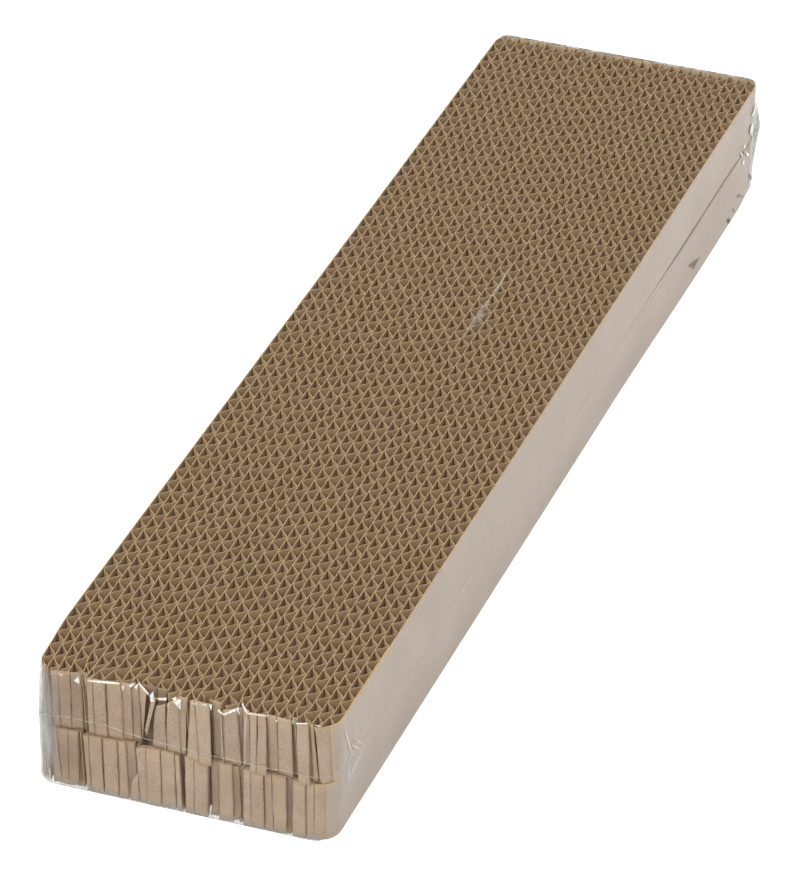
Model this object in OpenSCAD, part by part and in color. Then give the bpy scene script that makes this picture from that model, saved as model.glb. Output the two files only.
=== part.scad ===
// Cardboard cat scratcher, sold as a pack of two pads in clear shrink film.
// Each pad is a row of single-face corrugated strips, stood on edge and glued side to side,
// so that the open flutes show on the top and the bottom. The last strip is closed by one
// more liner. The outermost liners turn round the corners of the pad and lie on its ends.
// Both pads were cut from the same glued block, so their strips are alike.
// The film is two webs, welded to each other along a line at half the height of the pack.
// X runs across the strips, Y along them and Z up. The origin is under the middle of the pack.

/* [Corrugated board] */
// Distance between two crests on the same side of the fluting
flute_pitch = 8; // [6:0.1:10]
// Height of the fluting over both of its crests
flute_height = 3.5; // [2.5:0.05:4.5]
// Thickness of the fluted paper
fluting_thick = 0.22; // [0.15:0.01:0.35]
// Thickness of the flat liner paper
liner_thick = 0.25; // [0.2:0.01:0.4]
// How deep the crests of the fluting are pressed into the liner that they are glued to
crest_bite = 0.15; // [0.05:0.01:0.18]
// Length of the fluting that the cut has crushed flat at each end of a strip
crushed_end = 0.6; // [0.4:0.05:1.4]

/* [Pads] */
// Number of strips in a pad
strip_count = 27; // [14:1:28]
// Length of a pad along its strips
pad_length = 461; // [300:1:560]
// Height of a pad, which is the width its strips were cut to
pad_height = 21; // [14:0.5:30]
// Outer radius of the corners, where the outer liners turn
corner_radius = 8; // [5:0.5:11]
// Number of strips whose ends a turned outer liner covers
flap_strips = 3; // [3:1:6]
// How far the ends of the strips are out of line with each other
ragged_depth = 1.4; // [0:0.1:2.5]
// How far the upper pad is shifted along the lower one
pad_shift = 0.8; // [0:0.1:2]
// Gap between the two pads
pad_gap = 0.3; // [0.2:0.05:1]
// Gap between the flap of a turned liner and the strips behind it
flap_clearance = 0.2; // [0.1:0.05:0.6]

/* [Film] */
// Thickness of the film
film_thick = 0.12; // [0.08:0.01:0.3]
// Clearance between the film and the pads
film_clearance = 0.3; // [0.2:0.05:1]
// Width of the bead of melted film along the weld
weld_width = 0.8; // [0.4:0.1:2]
// Height of that bead on each web
weld_height = 0.3; // [0.15:0.05:0.6]
// Gap between the two webs along the weld
weld_gap = 0.1; // [0.05:0.01:0.3]
// Radius of the ear of loose film at a corner, at the weld
ear_radius = 5; // [4:0.25:7]
// Radius of that ear where it runs out, at the top and the bottom of the pack
ear_tip_radius = 2; // [1:0.25:3]
// How far the ear stands past the corner of the film, at the weld
ear_reach = 2.5; // [1:0.25:4]

/* [Hidden] */
$fn = 48;
half = 1 / 2;
strip_pitch = flute_height + liner_thick;
pad_width = strip_count * strip_pitch + liner_thick;
// Length of an outer liner that lies flat on an end, past the corner
end_flap = max(liner_thick, flap_strips * strip_pitch + liner_thick - corner_radius);
// Closest distance of the first whole crest from the end of its strip
first_crest = 2 * crushed_end;
// Strips were stacked in runs. Each run gives its first strip, the place of that strip's crests
// as a share of a flute, and how far the place drifts from each strip to the next.
run_shares = [
    [0, 0.3, 0.25], [2, 0.63, -0.06], [7, 0.53, 0.27],
    [9, 0.45, 0], [12, 0.67, 0.3], [14, 0.28, 0],
    [16, 0.94, -0.3], [18, 0.43, 0.03], [24, 0.4, 0.08]
];
// Angles that set the ends of the strips out of line
ragged_turn = 77;
far_turn = 110;

film_length = pad_length + pad_shift + 2 * film_clearance;
film_width = pad_width + 2 * film_clearance;
film_radius = corner_radius + film_clearance;
lower_pad_z = film_thick;
upper_pad_z = lower_pad_z + pad_height + pad_gap;
film_top_z = upper_pad_z + pad_height + film_clearance;
weld_z = lower_pad_z + pad_height + half * pad_gap;

PAD_NAMES = ["lower", "upper"];
function two_digits(n) = n < 10 ? str("0", n) : str(n);
function strip_name(pad, i) = str(PAD_NAMES[pad], "_strip_", two_digits(i + 1));
function side_liner_name(pad) = str(PAD_NAMES[pad], "_side_liner");

// Place of a strip

function strip_x(i) = -half * pad_width + i * strip_pitch;

// Distance from the nearer long side of the pad to the strip's own outer edge
function from_side(i) =
    liner_thick + strip_pitch * min(i, strip_count - 1 - i);

// Room that the turned liner takes at the end of a strip
function corner_inset(depth) =
    let (inner = corner_radius - liner_thick, arm = max(0, corner_radius - depth))
    corner_radius - sqrt(max(0, inner * inner - arm * arm));

function ragged_inset(i, turn) =
    ragged_depth * half * (1 + sin(ragged_turn * i + turn));

function near_end(i) =
    -half * pad_length + corner_inset(from_side(i)) + flap_clearance + ragged_inset(i, 0);

function far_end(i) =
    half * pad_length - corner_inset(from_side(i)) - flap_clearance - ragged_inset(i, far_turn);

// Fluting: its crests alternate between the liner and the next strip, half a pitch apart.
// Crests with an even number stand off, at the next strip, and the others are on the liner.
// Points are [distance from the liner, place along the strip].

step = half * flute_pitch;
wall_angle = atan2(flute_height - fluting_thick, step);
// Distance of the open side of the fluting from the liner, over a crest glued to it
valley = fluting_thick / cos(wall_angle) - crest_bite;
crushed_valley = fluting_thick - crest_bite;

// The run that strip i is in
function run_of(i) =
    let (begun = [for (run = run_shares) if (run[0] <= i) run])
    begun[len(begun) - 1];

// How far the crests of a strip are shifted along it
function crest_shift(i) =
    let (run = run_of(i))
    flute_pitch * (run[1] + run[2] * (i - run[0]));

function first_crest_number(i) = ceil((near_end(i) + first_crest - crest_shift(i)) / step);

function last_crest_number(i) = floor((far_end(i) - first_crest - crest_shift(i)) / step);

function stands_off(k) = k % 2 == 0;

function crushed_x(k) = stands_off(k) ? flute_height : crushed_valley;

// Open side of the fluting, from the near end to the far end
function open_side(i) =
    let (
        first = first_crest_number(i),
        last = last_crest_number(i),
        near_x = crushed_x(first - 1),
        far_x = crushed_x(last + 1)
    )
    concat(
        [[near_x, near_end(i)], [near_x, near_end(i) + crushed_end]],
        [for (k = [first : last])
            [stands_off(k) ? flute_height : valley, crest_shift(i) + k * step]],
        [[far_x, far_end(i) - crushed_end], [far_x, far_end(i)]]
    );

// Direction square to the stretch of a line between two points, to its -X side
function square_to(from, to) =
    let (run = (to - from) / norm(to - from))
    [-run[1], run[0]];

// The line one paper thickness to the -X side of the given one
function paper_behind(line) =
    let (last = len(line) - 1)
    [for (k = [0 : last])
        let (
            before = square_to(line[max(k - 1, 0)], line[max(k, 1)]),
            after = square_to(line[min(k, last - 1)], line[min(k + 1, last)])
        )
        line[k] + fluting_thick * (before + after) / (1 + before * after)];

function backwards(points) = [for (k = [len(points) - 1 : -1 : 0]) points[k]];

module fluting_outline(i) {
    line = open_side(i);
    translate([strip_x(i) + liner_thick, 0])
        polygon(concat(line, backwards(paper_behind(line))));
}

// Liners

module straight_liner_outline(i) {
    translate([strip_x(i), near_end(i)])
        square([liner_thick, far_end(i) - near_end(i)]);
}

// A quarter of the turned corner, then the flap on the end, on the -X side at the near end
module turned_liner_corner() {
    translate([corner_radius - half * pad_width, corner_radius - half * pad_length])
        intersection() {
            difference() {
                circle(r = corner_radius);
                circle(r = corner_radius - liner_thick);
            }
            translate([-corner_radius, -corner_radius])
                square([corner_radius, corner_radius]);
        }
    translate([corner_radius - half * pad_width, -half * pad_length])
        square([end_flap, liner_thick]);
}

// The outer liner of the -X side, with both of its turned ends
module turned_liner_outline() {
    turned_liner_corner();
    mirror([0, 1])
        turned_liner_corner();
    translate([-half * pad_width, corner_radius - half * pad_length])
        square([liner_thick, pad_length - 2 * corner_radius]);
}

// Pads

module pad_place(pad) {
    shift = half * pad_shift * (pad == 0 ? -1 : 1);
    translate([0, shift, pad == 0 ? lower_pad_z : upper_pad_z])
        linear_extrude(height = pad_height)
            children();
}

// A single-face strip: one liner and the fluting glued to it
module strip(pad, i) {
    color("tan")
        pad_place(pad) {
            fluting_outline(i);
            if (i == 0)
                turned_liner_outline();
            else
                straight_liner_outline(i);
        }
}

// The liner that closes the last strip, on the +X side
module side_liner(pad) {
    color("antiquewhite")
        pad_place(pad)
            mirror([1, 0])
                turned_liner_outline();
}

// Film

module rounded_plate(length, width, radius, height) {
    linear_extrude(height = height) {
        square([width - 2 * radius, length], center = true);
        square([width, length - 2 * radius], center = true);
        for (x = [-1, 1])
            for (y = [-1, 1])
                translate([x * (half * width - radius), y * (half * length - radius)])
                    circle(r = radius);
    }
}

// Solid inside of one web over its depth from the weld, wider by spread all round
module web_inside(depth, spread) {
    reach = film_radius + ear_reach - ear_radius;
    corner_x = half * film_width - film_radius;
    corner_y = half * film_length - film_radius;
    rounded_plate(
        film_length + 2 * spread,
        film_width + 2 * spread,
        film_radius + spread,
        depth + spread
    );
    for (x = [-1, 1])
        for (y = [-1, 1])
            translate([x * (corner_x + reach * cos(45)), y * (corner_y + reach * sin(45)), 0])
                cylinder(r1 = ear_radius + spread, r2 = ear_tip_radius + spread, h = depth);
}

// One web of film with its open side down at z = 0, and the bead of the weld round its edge
module film_web(depth) {
    color([0.9, 0.92, 0.93, 0.25])
        difference() {
            union() {
                web_inside(depth, film_thick);
                rounded_plate(
                    film_length + 2 * weld_width,
                    film_width + 2 * weld_width,
                    film_radius + weld_width,
                    weld_height
                );
            }
            web_inside(depth, 0);
        }
}

module film_upper_web() {
    translate([0, 0, weld_z + half * weld_gap])
        film_web(film_top_z - weld_z - half * weld_gap);
}

module film_lower_web() {
    translate([0, 0, weld_z - half * weld_gap])
        mirror([0, 0, 1])
            film_web(weld_z - half * weld_gap - film_thick);
}

for (pad = [0, 1])
    for (i = [0 : strip_count - 1])
        strip(pad, i);
for (pad = [0, 1])
    side_liner(pad);
film_lower_web();
film_upper_web();
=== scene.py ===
# %% [markdown]
# # A cardboard cat scratcher, in its pack of two
# The object is two narrow scratching pads, one on the other, shrink-wrapped in clear film.
# A pad is a row of single-face corrugated strips, stood on edge and glued side to side, so that
# the open flutes show on top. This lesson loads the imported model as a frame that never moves,
# and builds the visible surfaces round it, piece by piece.

import math
from functools import partialmethod

import bmesh
import bpy
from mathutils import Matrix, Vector, noise


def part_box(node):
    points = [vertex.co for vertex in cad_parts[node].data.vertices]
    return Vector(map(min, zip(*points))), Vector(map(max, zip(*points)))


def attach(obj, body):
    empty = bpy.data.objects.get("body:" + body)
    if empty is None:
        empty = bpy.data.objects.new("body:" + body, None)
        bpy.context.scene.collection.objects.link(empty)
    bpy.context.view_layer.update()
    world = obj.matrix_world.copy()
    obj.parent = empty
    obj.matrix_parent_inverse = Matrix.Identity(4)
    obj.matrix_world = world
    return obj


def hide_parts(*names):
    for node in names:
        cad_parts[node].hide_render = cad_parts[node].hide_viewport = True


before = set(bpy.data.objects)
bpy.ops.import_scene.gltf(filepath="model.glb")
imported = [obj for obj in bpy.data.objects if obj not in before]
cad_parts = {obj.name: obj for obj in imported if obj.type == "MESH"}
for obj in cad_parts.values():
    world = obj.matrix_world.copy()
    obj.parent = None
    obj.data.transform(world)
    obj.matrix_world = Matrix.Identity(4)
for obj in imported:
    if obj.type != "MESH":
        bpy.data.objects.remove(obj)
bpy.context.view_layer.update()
MM = 0.001

# %% [markdown]
# ## The camera
# The long edges of the pack run away from the camera, and how fast they close up gives the
# distance and the lens. The camera is far off with a long lens, as in a product photograph.

# %% Camera
def add_object(name, data):
    thing = bpy.data.objects.new(name, data)
    bpy.context.scene.collection.objects.link(thing)
    return thing


camera_data = bpy.data.cameras.new("camera")
camera_data.sensor_fit = "VERTICAL"
camera_data.sensor_height = 36
camera_data.lens = 241.82
camera_data.clip_end = 50
camera = add_object("camera", camera_data)
camera.location = (0.5498, -1.6512, 1.0614)
camera.rotation_euler = [math.radians(turn) for turn in (58.756, -1.222, 19.417)]
bpy.context.scene.camera = camera
print("camera is", round(camera.location.length, 2), "m from the middle of the pack")

# %% [markdown]
# ## Sizes
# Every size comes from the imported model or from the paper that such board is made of. The pads
# are one glued block cut in two, so one set of sizes serves both. At the near end the upper pad
# lies a little further back than the lower one.

# %% Sizes of the pads
PADS = ("lower", "upper")
STRIPS = 27
STRIP_PITCH = 3.75 * MM
FLUTE_PITCH = 8 * MM
LINER = 0.24 * MM
PAPER = 0.2 * MM
NEAR_CORNER = 8 * MM
FAR_CORNER = 5 * MM
UPPER_BACK = 0.8 * MM

pads = {}
for pad in PADS:
    low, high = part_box(f"{pad}_strip_01")
    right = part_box(f"{pad}_side_liner")[1]
    pads[pad] = (low, Vector((right.x, high.y, high.z)))
    print(pad, "pad from", [round(v / MM, 2) for v in low], "to",
          [round(v / MM, 2) for v in pads[pad][1]])
HALF = pads["upper"][1].x
NEAR_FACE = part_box("film_lower_web")[0].y + 1 * MM
SEAM = pads["lower"][1].z
SHEET_FOOT = {"lower": pads["lower"][0].z, "upper": SEAM + 0.05 * MM}
LINER_NEAR = {"lower": NEAR_FACE, "upper": NEAR_FACE + 0.22 * MM}
print("half width", round(HALF / MM, 2), "mm, near face at y", round(NEAR_FACE / MM, 2), "mm")


def ratio(value, start, end):
    """How far a value in metres has come between two places in mm, from 0 to 1."""
    return max(0, min(1, (value / MM - start) / (end - start)))


def blend(first, second, share):
    return first + (second - first) * share


def corner_inset(x, radius):
    """How far the end of a pad lies back here, because its corners are round."""
    arm = max(0, radius - HALF + abs(x))
    return radius - math.sqrt(max(0, radius ** 2 - arm ** 2))


# %% [markdown]
# ## Arithmetic on fields
# A Geometry Nodes tree can hold a whole formula, but one Math node at a time is hard to read.
# This small class lets ordinary arithmetic make the Math nodes, in a geometry tree and in a
# shader tree alike.

# %% A field that makes its own Math nodes
def wire(socket, value):
    """Gives an input a plain value, a field, or the first output of a node."""
    if isinstance(value, bpy.types.Node):
        value = Field(value.outputs[0])
    if isinstance(value, Field):
        socket.id_data.links.new(value.socket, socket)
    else:
        socket.default_value = value


def fill(node, *in_order, **by_name):
    """Wires the inputs of a node, by their order or by their names."""
    for socket, value in zip(node.inputs, in_order):
        wire(socket, value)
    for name, value in by_name.items():
        wire(node.inputs[name.replace("_", " ")], value)
    return node


class Field:
    def __init__(self, socket):
        self.tree, self.socket = socket.id_data, socket

    def math(self, operation, *others):
        node = self.tree.nodes.new("ShaderNodeMath")
        node.operation = operation
        return Field(fill(node, self, *others).outputs[0])

    def __rsub__(self, other):
        return self * -1 + other

    __add__ = __radd__ = partialmethod(math, "ADD")
    __mul__ = __rmul__ = partialmethod(math, "MULTIPLY")
    __sub__ = partialmethod(math, "SUBTRACT")
    __truediv__ = partialmethod(math, "DIVIDE")

    def between(self, low, high):
        return self.math("MAXIMUM", low).math("MINIMUM", high)

    def ramp(self, low, high, start=0, end=1, smooth=True):
        node = self.tree.nodes.new("ShaderNodeMapRange")
        node.interpolation_type = "SMOOTHSTEP" if smooth else "LINEAR"
        return Field(fill(node, self, low, high, start, end).outputs[0])


def combine(x, y, z):
    return Field(fill(x.tree.nodes.new("ShaderNodeCombineXYZ"), x, y, z).outputs[0])


def separate(vector):
    node = fill(vector.tree.nodes.new("ShaderNodeSeparateXYZ"), vector)
    return [Field(socket) for socket in node.outputs]


def cloud(vector, scale=1, detail=1, roughness=0.5):
    """Noise about 0.5, smooth over a distance of 1 / scale."""
    node = fill(vector.tree.nodes.new("ShaderNodeTexNoise"), Vector=vector, Scale=scale,
                Detail=detail, Roughness=roughness)
    return Field(node.outputs["Fac"])


def cloud_at(x, y, z, detail=1):
    return cloud(combine(x, y, z), detail=detail)


print("fields ready")

# %% [markdown]
# ## Finishes that more than one material shares
# Kraft paper is a felt of fibres: cloudy at the scale of a few millimetres and speckled at the
# scale of a fibre. One group gives that for every paper here, and each paper sets its own two
# colours. A second group bleaches a paper towards its cut edge, where the saw has frayed it.

# %% Shader groups
SOCKETS = {float: "Float", int: "Int", bool: "Bool", tuple: "Color", type(None): "Material"}


def group_with(name, kind, inputs, outputs):
    """An empty group. The type of an input follows from its default."""
    tree = bpy.data.node_groups.new(name, kind)
    for label, value in inputs.items():
        socket = tree.interface.new_socket(label, in_out="INPUT",
                                           socket_type="NodeSocket" + SOCKETS[type(value)])
        if value is not None:
            socket.default_value = value
    for label, socket_type in outputs.items():
        tree.interface.new_socket(label, in_out="OUTPUT", socket_type="NodeSocket" + socket_type)
    start = tree.nodes.new("NodeGroupInput")
    given = {socket.name: Field(socket) for socket in start.outputs if socket.name}
    return tree, given, tree.nodes.new("NodeGroupOutput")


def mix_colour(share, first, second):
    node = share.tree.nodes.new("ShaderNodeMix")
    node.data_type = "RGBA"
    for index, value in ((0, share), (6, first), (7, second)):
        wire(node.inputs[index], value)
    return Field(node.outputs[2])


def object_place(tree):
    return Field(tree.nodes.new("ShaderNodeTexCoord").outputs["Object"])


def stretched(vector, scale):
    node = fill(vector.tree.nodes.new("ShaderNodeMapping"), Vector=vector, Scale=scale)
    return Field(node.outputs[0])


def attribute(tree, name):
    node = tree.nodes.new("ShaderNodeAttribute")
    node.attribute_name = name
    return Field(node.outputs["Fac"])


pulp, given, out = group_with(
    "paper_pulp", "ShaderNodeTree",
    {"Pale": (0.5, 0.4, 0.3, 1), "Dark": (0.3, 0.2, 0.1, 1), "Cloud Size": 0.008, "Speckle": 0.5},
    {"Color": "Color", "Height": "Float"})
clouds = cloud(object_place(pulp), given["Cloud Size"].math("POWER", -1), 3)
fibres = cloud(stretched(object_place(pulp), (1, 0.6, 1)), 2400, 2, 0.7)
share = clouds.ramp(0.3, 0.7, smooth=False) * (1 - given["Speckle"]) \
    + fibres.ramp(0.25, 0.75, smooth=False) * given["Speckle"]
fill(out, Color=mix_colour(share, given["Dark"], given["Pale"]), Height=fibres)

fray, given, out = group_with(
    "cut_fray", "ShaderNodeTree",
    {"Color": (0.5, 0.4, 0.3, 1), "Frayed": (0.7, 0.6, 0.4, 1), "Amount": 0.6}, {"Color": "Color"})
tufts = cloud(object_place(fray), 900, 2)
share = attribute(fray, "rim").ramp(0.35, 1) * tufts.ramp(0.3, 0.6, 0.5, 1) * given["Amount"]
fill(out, Color=mix_colour(share, given["Color"], given["Frayed"]))
print("paper_pulp has", len(pulp.nodes), "nodes and cut_fray", len(fray.nodes))

# %% [markdown]
# ## The papers
# The fluting is a thin brown recycled paper. The liners are a little paler. The outer liner of
# a pad has a smooth greyish face. Sawn edges are yellowish, since light comes through the
# paper there. Three papers carry marks. The end panels are reddish where a sheet is reddish,
# and darker as painted shade where they lie deep or towards the left side. The outer liners
# have a dark ragged line along the seam, painted shade of the gap between the pads. The lower
# pad's cut edge is dark, painted shade of that gap too, but golden near the camera. Colours are
# picked as a screen shows them, and made linear.

# %% Paper materials
def colour(*levels):
    shares = [level / 255 for level in levels]
    return (*(share / 12.92 if share <= 0.04045 else ((share + 0.055) / 1.055) ** 2.4
              for share in shares), 1)


def new_material(name, **values):
    """A material, with these inputs of its Principled node set."""
    material = bpy.data.materials.new(name)
    material.use_nodes = True
    tree = material.node_tree
    return material, tree, fill(tree.nodes["Principled BSDF"], **values)


def use_group(tree, group, **values):
    node = tree.nodes.new("ShaderNodeGroup")
    node.node_tree = group
    return fill(node, **values)


# Reddish brown for reddish sheets, also used as painted shade on deep panels, on panels towards the
# left and along the right seam.
BLUSH_AND_SHADE = colour(88, 62, 50)


def tint_and_painted_shade(tree):
    return attribute(tree, "tint"), BLUSH_AND_SHADE


def painted_seam_shade(tree):
    """A dark ragged line along the seam on the right side, towards the far end, painted shade of
    the gap between the pads.
    """
    x, y, z = separate(object_place(tree))
    ragged = (cloud(object_place(tree), 500, 2) - 0.5) * (1.6 * MM)
    line = (z - SEAM + 0.15 * MM + ragged).math("ABSOLUTE").ramp(0.55 * MM, 0.1 * MM)
    return line * y.ramp(95 * MM, 150 * MM) * x.math("GREATER_THAN", 50 * MM) * 0.9, BLUSH_AND_SHADE


def golden_near(tree):
    _, y, _ = separate(object_place(tree))
    return y.ramp(-150 * MM, -200 * MM), colour(206, 176, 120)


MARKS_AND_SHADE = {"outer_paper": painted_seam_shade, "shaded_cut_edge": golden_near}


def paper_material(name, pale, dark, frayed, amount, cloud_size, speckle, bump):
    material, tree, shader = new_material(name, Roughness=0.88, Specular_IOR_Level=0.25)
    body = use_group(tree, pulp, Pale=colour(*pale), Dark=colour(*dark),
                     Cloud_Size=cloud_size * MM, Speckle=speckle)
    share, mark_and_shade = MARKS_AND_SHADE.get(name, tint_and_painted_shade)(tree)
    edge = use_group(tree, fray, Color=mix_colour(share, body, mark_and_shade), Frayed=colour(*frayed),
                     Amount=amount)
    relief = fill(tree.nodes.new("ShaderNodeBump"), Strength=bump, Distance=0.15 * MM,
                  Height=Field(body.outputs["Height"]))
    fill(shader, Base_Color=edge, Normal=relief)
    return material


# Pale, dark and frayed colour, share frayed, size of the clouds in mm, speckle, and bump.
PAPERS = {
    "fluting_paper": ((200, 170, 138), (154, 122, 94), (196, 176, 134), 0.35, 6, 0.6, 0.3),
    "liner_paper": ((198, 170, 142), (160, 130, 104), (196, 176, 134), 0.35, 9, 0.6, 0.3),
    "panel_paper": ((203, 182, 161), (148, 126, 105), (196, 172, 134), 0.3, 9, 0.75, 0.3),
    "outer_paper": ((194, 178, 164), (168, 151, 137), (200, 176, 134), 0.3, 22, 0.6, 0.2),
    "cut_edge": ((204, 178, 140), (166, 146, 100), (198, 178, 134), 0.15, 4, 0.35, 0.5),
    "golden_edge": ((206, 172, 104), (176, 138, 72), (206, 176, 110), 0.2, 3, 0.7, 0.4),
    # The lower pad's cut edge: dark as painted shade of the gap at the seam, golden near the
    # camera.
    "shaded_cut_edge": ((76, 60, 46), (48, 36, 27), (86, 70, 54), 0.2, 2, 0.7, 0.4),
}
papers = {name: paper_material(name, *finish) for name, finish in PAPERS.items()}
print("papers:", list(papers))

# %% [markdown]
# ## A sheet of paper from fields
# Each sheet starts as a flat grid. One formula turns the two directions of the grid into a
# place in space. Extruding the grid by the thickness gives the second face and the cut edges in
# one go, and the first face is flipped so that both look outwards. The rows are close together
# at the top and the bottom, where the saw has bent and frayed the paper.

# %% Paper sheets and the shared warp
# How far the near left corner is pushed in, and how far the sheets wander.
PUSH, WANDER = 1.6 * MM, 1.6 * MM


def joined(tree, *parts):
    node = tree.nodes.new("GeometryNodeJoinGeometry")
    for part in parts:
        wire(node.inputs[0], part)
    return node


def keep_result(out, shape):
    real = fill(out.id_data.nodes.new("GeometryNodeRealizeInstances"), Geometry=shape)
    fill(out, Geometry=real)


def warped(x, y):
    """All sheets wander a little together, and the near left corner is pushed in."""
    inner = x.math("ABSOLUTE").ramp(50 * MM, 38 * MM)
    pushed = y.ramp(-196 * MM, -231 * MM) * x.ramp(-35 * MM, -50 * MM) * PUSH
    return x + (cloud_at(x * 70, y * 22, 0, 2) - 0.5) * inner * WANDER + pushed


def paper_sheet(tree, columns, rows, place, thickness, face, cut):
    def add(kind, **inputs):
        return fill(tree.nodes.new("GeometryNode" + kind), **inputs)

    grid = add("MeshGrid", Size_X=1, Size_Y=1, Vertices_X=columns, Vertices_Y=rows)
    u, v, _ = separate(Field(add("InputPosition").outputs[0]))
    u, v = u + 0.5, v + 0.5
    edge = ((v - 0.5).math("ABSOLUTE") * 2).ramp(0, 1, smooth=False)
    marked = add("StoreNamedAttribute", Geometry=grid, Name="rim", Value=edge)
    put = add("SetPosition", Geometry=marked, Position=place(u, v))
    near_cut = Field(add("InputNamedAttribute", Name="rim").outputs["Attribute"])
    grown = add("ExtrudeMesh", Mesh=put, Individual=False,
                Offset_Scale=near_cut.ramp(0.9, 1, 1, 1.1) * thickness)
    side = Field(grown.outputs["Side"])
    faced = add("SetMaterial", Geometry=grown, Material=face)
    edged = add("SetMaterial", Geometry=faced, Selection=side, Material=cut)
    front = add("SetShadeSmooth", Geometry=edged, Selection=side, Shade_Smooth=False)
    back = add("SetMaterial", Geometry=add("FlipFaces", Mesh=put), Material=face)
    return add("MergeByDistance", Geometry=joined(tree, front, back), Distance=0.002 * MM)


def height_of(v, rough, drop):
    """Rows crowd towards both cuts. The foot is a little rough, and the top lies lower by drop."""
    return blend(given["Bottom"] + rough * (0.05 * MM), given["Top"] - drop, v.ramp(0, 1))


print("paper_sheet ready")

# %% [markdown]
# ## One strip
# A strip is one flat liner with a wave of fluting glued to it. The walls of the wave are nearly
# straight, because the paper was pressed between two toothed rolls and then stretched. Both
# sheets end where the turned corner liner leaves room for them.

# %% Tree of a strip
strip_tree, given, out = group_with("strip", "GeometryNodeTree", {
    "Left": 0.0, "Across": STRIP_PITCH, "Near": -0.2, "Far": 0.2, "Liner Near": -0.2,
    "Pad Near": -0.2, "Pad Far": 0.2, "Bottom": 0.0, "Top": 0.02, "Rough": 0.4 * MM,
    "Flute Pitch": FLUTE_PITCH, "Crest Shift": 0.0, "Liner": LINER, "Paper": PAPER,
    "Flute Columns": 900, "Liner Columns": 120, "Rows": 6, "Own Liner": True, "Seed": 0.0,
    "Left Shift": 0.0, "Right Shift": 0.0, "Lean": 0.0, "Crushed": 0.4, "Liner Paper": None,
    "Fluting Paper": None, "Cut Edge": None}, {"Geometry": "Geometry"})
# How straight the walls of the wave are and how much they lean, how far the crests are out of
# place, and how far a crushed top is bent.
STRAIGHT, LOPSIDED, JITTER, BEND = 0.6, 0.15, 1.6 * MM, 6 * MM


def corner_room(x, radius, layers):
    """Distance from the end of a pad that the turned liners take up at this place."""
    arm = (radius - HALF + x.math("ABSOLUTE")).math("MAXIMUM", 0)
    inner = (radius - layers * LINER) ** 2
    return radius + 0.1 * MM - (inner - arm * arm).math("MAXIMUM", 0).math("SQRT")


def kept_inside(x, y):
    near = corner_room(x, NEAR_CORNER, 2.4) + given["Pad Near"]
    far = given["Pad Far"] - corner_room(x, FAR_CORNER, 1.2)
    return y.between(near, far)


def end_shape(x, y, v):
    """Shifts and leans the last centimetre of a strip, differently at its two sides."""
    across = ((x - given["Left"]) / given["Across"]).between(0, 1)
    aside = blend(given["Left Shift"], given["Right Shift"], across)
    aside = (aside + given["Lean"] * (v.ramp(0, 1) - 0.5)) * (y - given["Near"]).ramp(10 * MM, 0)
    return (x + aside).between(-HALF + 0.5 * MM, HALF - 0.5 * MM)


def fluting_place(u, v):
    pitch, seed = given["Flute Pitch"], given["Seed"]
    along = blend(given["Near"], given["Far"], u)
    jitter = (cloud_at(along * 160, seed, 0, 2) - 0.5) * JITTER
    turn = (along - given["Crest Shift"]) / pitch * math.tau + math.pi
    y = along + turn.math("SINE") * pitch * (LOPSIDED / math.tau) + jitter
    wave = (1 - turn.math("COSINE")) * ((1 - STRAIGHT) / 2) \
        + (turn / math.pi).math("PINGPONG", 1) * STRAIGHT
    inner = given["Left"] + given["Liner"]
    swing = given["Across"] - given["Liner"] - given["Paper"]
    crush = cloud_at(along * 110, seed + 40, 0).ramp(0.6, 0.72) * given["Crushed"]
    bent = v.ramp(0.75, 1) * crush * (cloud_at(along * 300, seed, 5) - 0.45) * BEND
    x = end_shape((inner + swing * wave + bent).between(inner, inner + swing), y, v)
    y = kept_inside(x, y.math("MAXIMUM", given["Near"]))
    rough = cloud_at(along * 700, x * 700, seed)
    return combine(warped(x, y), y, height_of(v, rough, rough * given["Rough"]))


def liner_place(u, v):
    y = blend(given["Liner Near"], given["Far"], u)
    x = end_shape(given["Left"], y, v)
    y = kept_inside(x, y)
    rough = cloud_at(y * 500, given["Seed"], 9)
    return combine(warped(x, y), y, height_of(v, rough, rough * given["Rough"]))


fluting = paper_sheet(strip_tree, given["Flute Columns"], given["Rows"], fluting_place,
                      given["Paper"], given["Fluting Paper"], given["Cut Edge"])
flat = paper_sheet(strip_tree, given["Liner Columns"], given["Rows"], liner_place,
                   given["Liner"], given["Liner Paper"], given["Cut Edge"])
own = fill(strip_tree.nodes.new("GeometryNodeSwitch"), Switch=given["Own Liner"],
           **{"True": flat})
keep_result(out, joined(strip_tree, fluting, own))
print("strip tree has", len(strip_tree.nodes), "nodes")
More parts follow.
